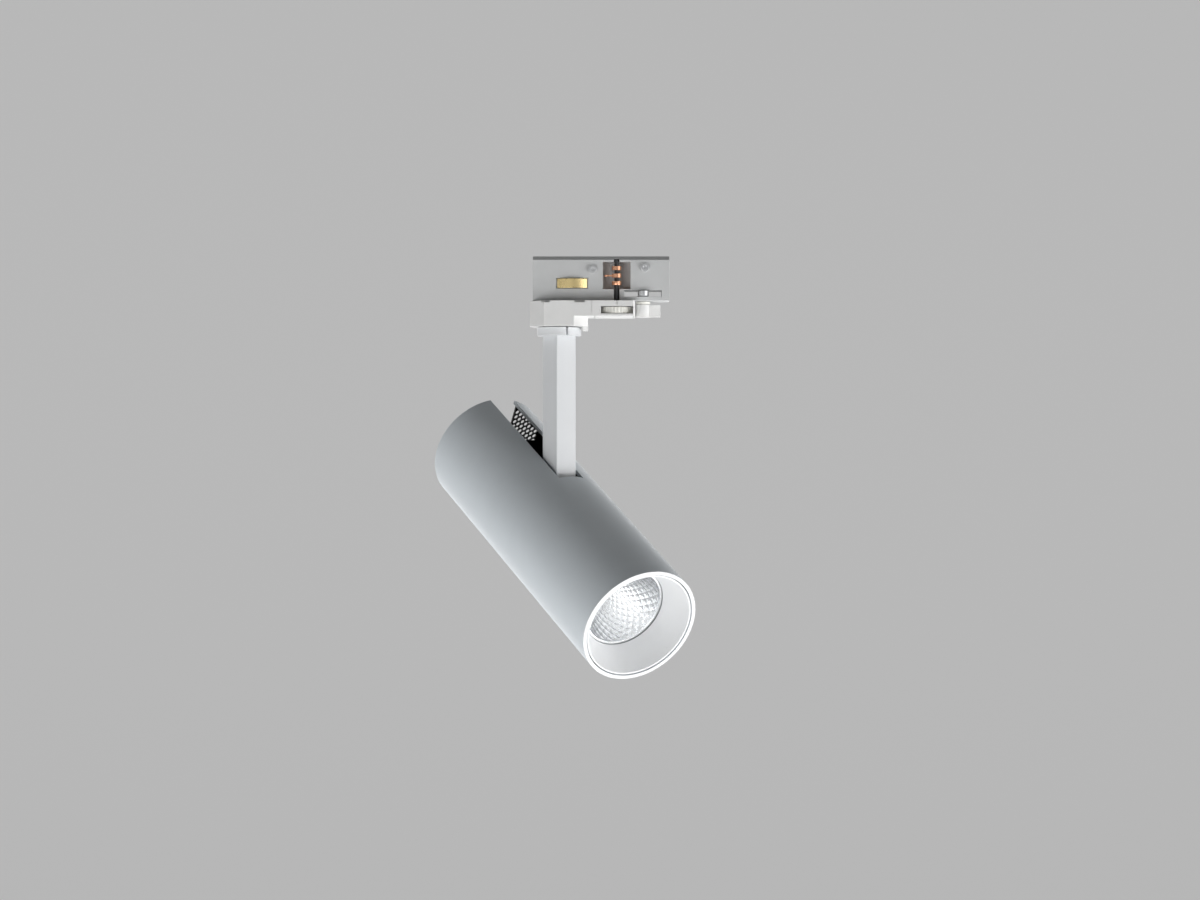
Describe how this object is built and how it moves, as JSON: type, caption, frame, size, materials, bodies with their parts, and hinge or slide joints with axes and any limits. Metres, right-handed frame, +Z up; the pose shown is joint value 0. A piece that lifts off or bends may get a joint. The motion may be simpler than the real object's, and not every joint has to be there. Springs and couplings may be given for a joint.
{
  "type": "track spotlight",
  "caption": "Slim cylindrical spotlight that hangs from a lighting track on a square-edged stem, pans under its adapter and tilts in a slot in its tube.",
  "frame": {"origin": "on the pan axis, in the plane where the adapter seats against the underside of the track", "axes": "+Z up, +X along the track towards the lock lever, -Y towards the side with the selector wheel's window; the stored pose has the head turned 59 degrees from +X towards -Y and aimed 30 degrees below horizontal"},
  "size_m": [0.1406, 0.1809, 0.2234],
  "materials": {
    "head_paint": "satin light grey-white powder coat on aluminium tube",
    "stem_paint": "satin white powder coat",
    "white_plastic": "moulded white polycarbonate",
    "grey_plastic": "moulded pale grey insulating plastic",
    "cream_plastic": "moulded cream nylon",
    "copper": "bare copper contact strip",
    "brass": "bare brass spring strip",
    "lead_sheath": "white flexible sheath",
    "black_nylon": "black nylon",
    "black_metal": "black coated sheet steel",
    "black_plastic": "black moulded driver case",
    "white_baffle": "satin white anti-glare cone",
    "bright_reflector": "bright faceted reflector",
    "heat_sink_metal": "cast aluminium with a light bead-blasted skin",
    "ceramic": "white ceramic-filled moulding",
    "phosphor": "yellow phosphor under clear silicone",
    "thermal_pad": "grey thermal pad",
    "terminal_plastic": "white terminal moulding",
    "steel": "zinc-plated steel"
  },
  "bodies": {
    "adapter": {"base_housing": "white_plastic", "base_cover": "white_plastic", "cover_screw_1": "steel", "cover_screw_2": "steel", "carrier_near": "grey_plastic", "carrier_far": "grey_plastic", "carrier_screw_1": "steel", "carrier_screw_2": "steel", "earth_contact_near": "brass", "earth_contact_far": "brass", "neutral_contact": "copper", "terminal_block": "terminal_plastic", "adapter_lead": "lead_sheath"},
    "selector": {"selector_wheel": "cream_plastic", "selector_shaft": "black_nylon", "phase_contact_1": "copper", "phase_contact_2": "copper", "phase_contact_3": "copper"},
    "lock": {"lock_lever": "white_plastic", "lock_cam": "cream_plastic", "lock_wing": "steel"},
    "stem": {"nipple": "steel", "swivel_nut": "steel", "spring_washer": "steel", "friction_washer": "black_nylon", "swivel_collar": "stem_paint", "stem_tube": "stem_paint", "stem_screw": "steel", "pivot_knuckle": "stem_paint", "pivot_bolt": "steel", "tilt_washer_near": "black_nylon", "tilt_washer_far": "black_nylon", "tilt_spring_washer": "steel", "tilt_nut": "steel", "stem_lead": "lead_sheath"},
    "head": {"head_tube": "head_paint", "rear_grille": "black_metal", "baffle": "white_baffle", "reflector": "bright_reflector", "led_holder": "ceramic", "led_board": "ceramic", "led_emitter": "phosphor", "thermal_pad": "thermal_pad", "holder_screw_1": "steel", "holder_screw_2": "steel", "heat_sink": "heat_sink_metal", "chassis": "black_metal", "chassis_screw_1": "steel", "chassis_screw_2": "steel", "pivot_bracket": "steel", "bracket_screw_1": "steel", "bracket_screw_2": "steel", "driver_case": "black_plastic", "driver_terminals": "terminal_plastic", "head_lead": "lead_sheath", "led_lead": "lead_sheath", "grille_screw_1": "steel", "grille_screw_2": "steel", "tube_screw_bottom": "steel", "tube_screw_side": "steel"}
  },
  "joints": [
    {"name": "pan", "type": "hinge", "parent": "adapter", "child": "stem", "pos_m": [0, 0, 0], "axis": [0, 0, 1], "range_deg": [-175, 175]},
    {"name": "tilt", "type": "hinge", "parent": "stem", "child": "head", "pos_m": [0, 0, -0.1], "axis": [0.8572, 0.515, 0], "range_deg": [-30, 60]},
    {"name": "phase_selector", "type": "hinge", "parent": "adapter", "child": "selector", "pos_m": [0.0308, -0.0069, 0], "axis": [0, 0, 1], "range_deg": [0, 180]},
    {"name": "track_lock", "type": "hinge", "parent": "adapter", "child": "lock", "pos_m": [0.0449, 0, 0], "axis": [0, 0, 1], "range_deg": [-90, 0]}
  ]
}
